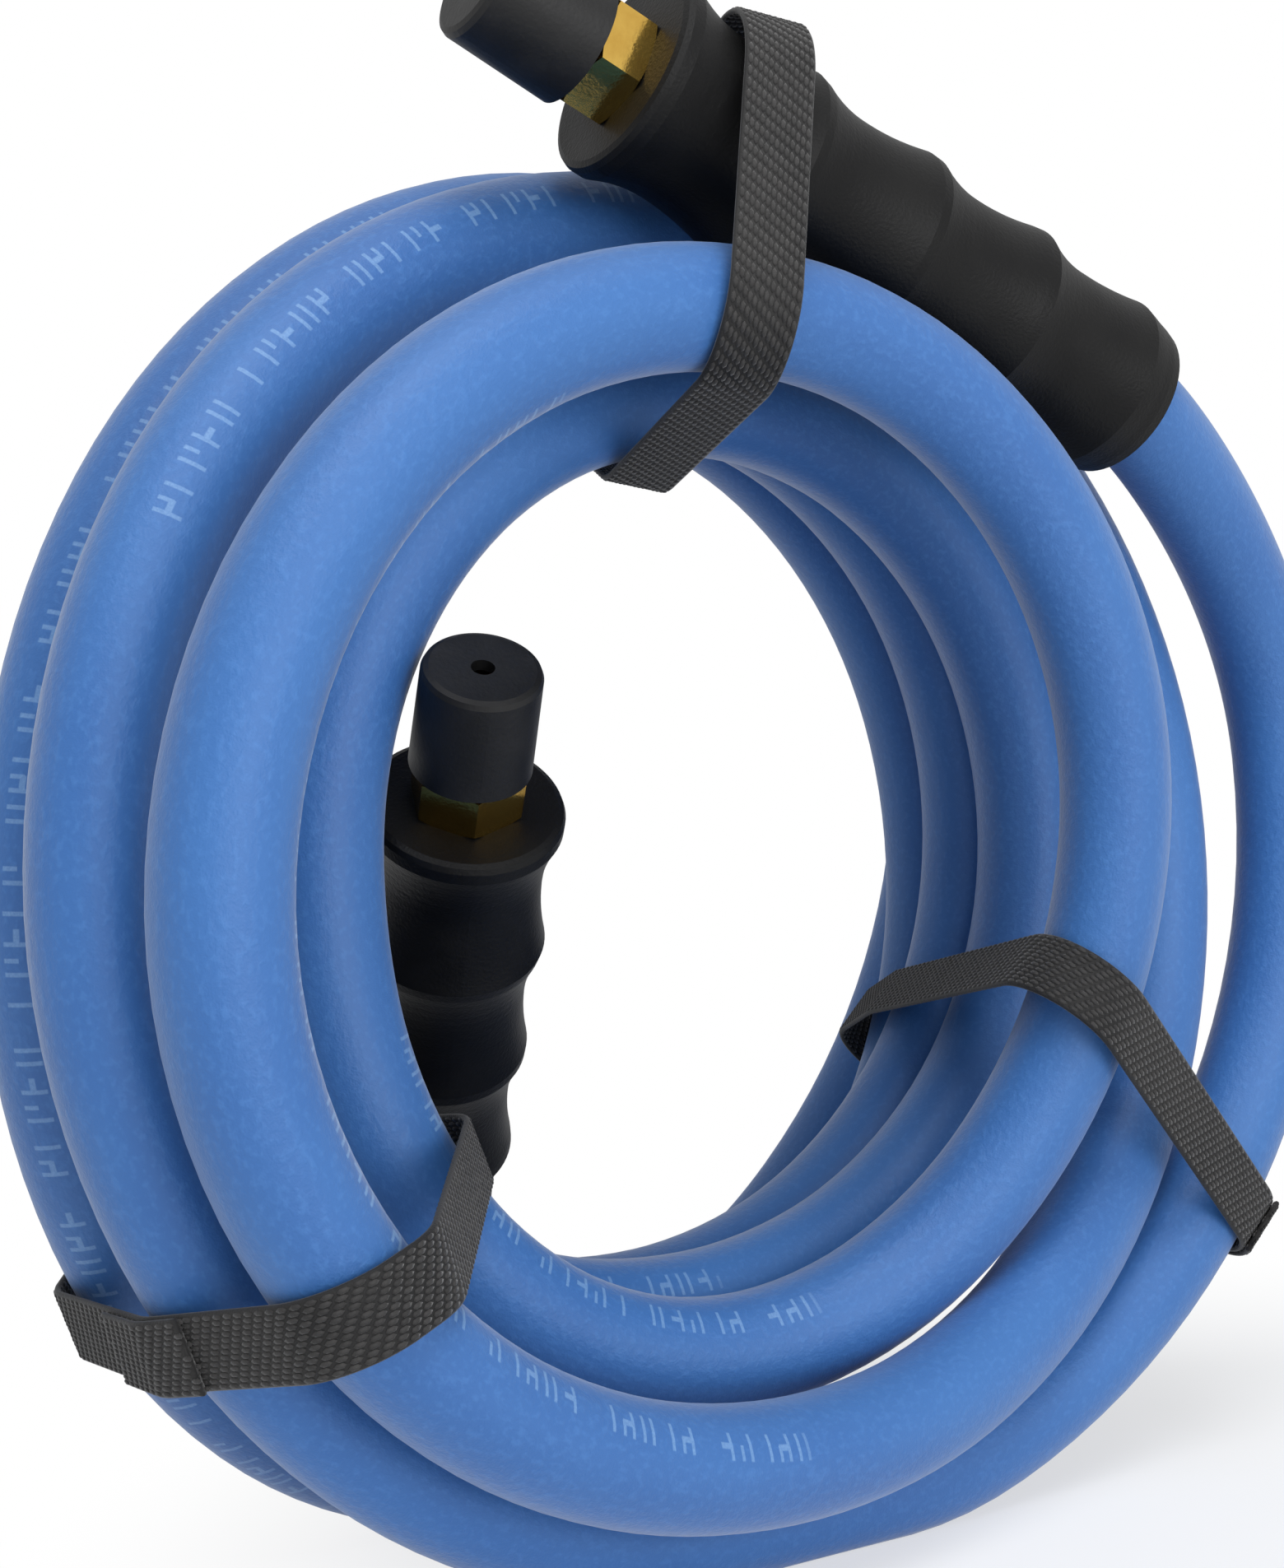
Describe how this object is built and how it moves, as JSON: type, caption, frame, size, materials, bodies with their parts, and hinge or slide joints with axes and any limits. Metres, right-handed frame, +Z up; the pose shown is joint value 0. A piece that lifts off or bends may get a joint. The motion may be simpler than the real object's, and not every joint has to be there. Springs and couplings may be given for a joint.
{
  "type": "air hose",
  "caption": "Coiled rubber air hose standing on edge, with barbed male pipe-thread fittings, moulded bend restrictors, push-on thread caps and woven ties.",
  "frame": {"origin": "on the floor, at the middle of the flat under the coil's first, front turn", "axes": "+Y along the coil's axis, away from the side that shows both fittings; +Z up; +X to the right as seen from that side"},
  "size_m": [0.2317, 0.146, 0.2275],
  "materials": {
    "hose_rubber": "satin",
    "brass": "polished",
    "sleeve_brass": "satin",
    "grip_rubber": "matte",
    "cap_rubber": "matte",
    "webbing": "woven"
  },
  "bodies": {
    "coil": {"hose": "hose_rubber", "stem_outer": "brass", "stem_inner": "brass", "ferrule_outer": "sleeve_brass", "ferrule_inner": "sleeve_brass", "grip_outer": "grip_rubber", "grip_inner": "grip_rubber", "strap_top": "webbing", "strap_left": "webbing", "strap_right": "webbing"},
    "outer_cap": {"cap_outer": "cap_rubber"},
    "inner_cap": {"cap_inner": "cap_rubber"}
  },
  "joints": [
    {"name": "outer_cap_slide", "type": "slide", "parent": "coil", "child": "outer_cap", "axis": [-0.9315, 0.0346, 0.362], "range_m": [0, 0.018]},
    {"name": "inner_cap_slide", "type": "slide", "parent": "coil", "child": "inner_cap", "axis": [-0.2477, -0.6114, 0.7515], "range_m": [0, 0.018]}
  ]
}
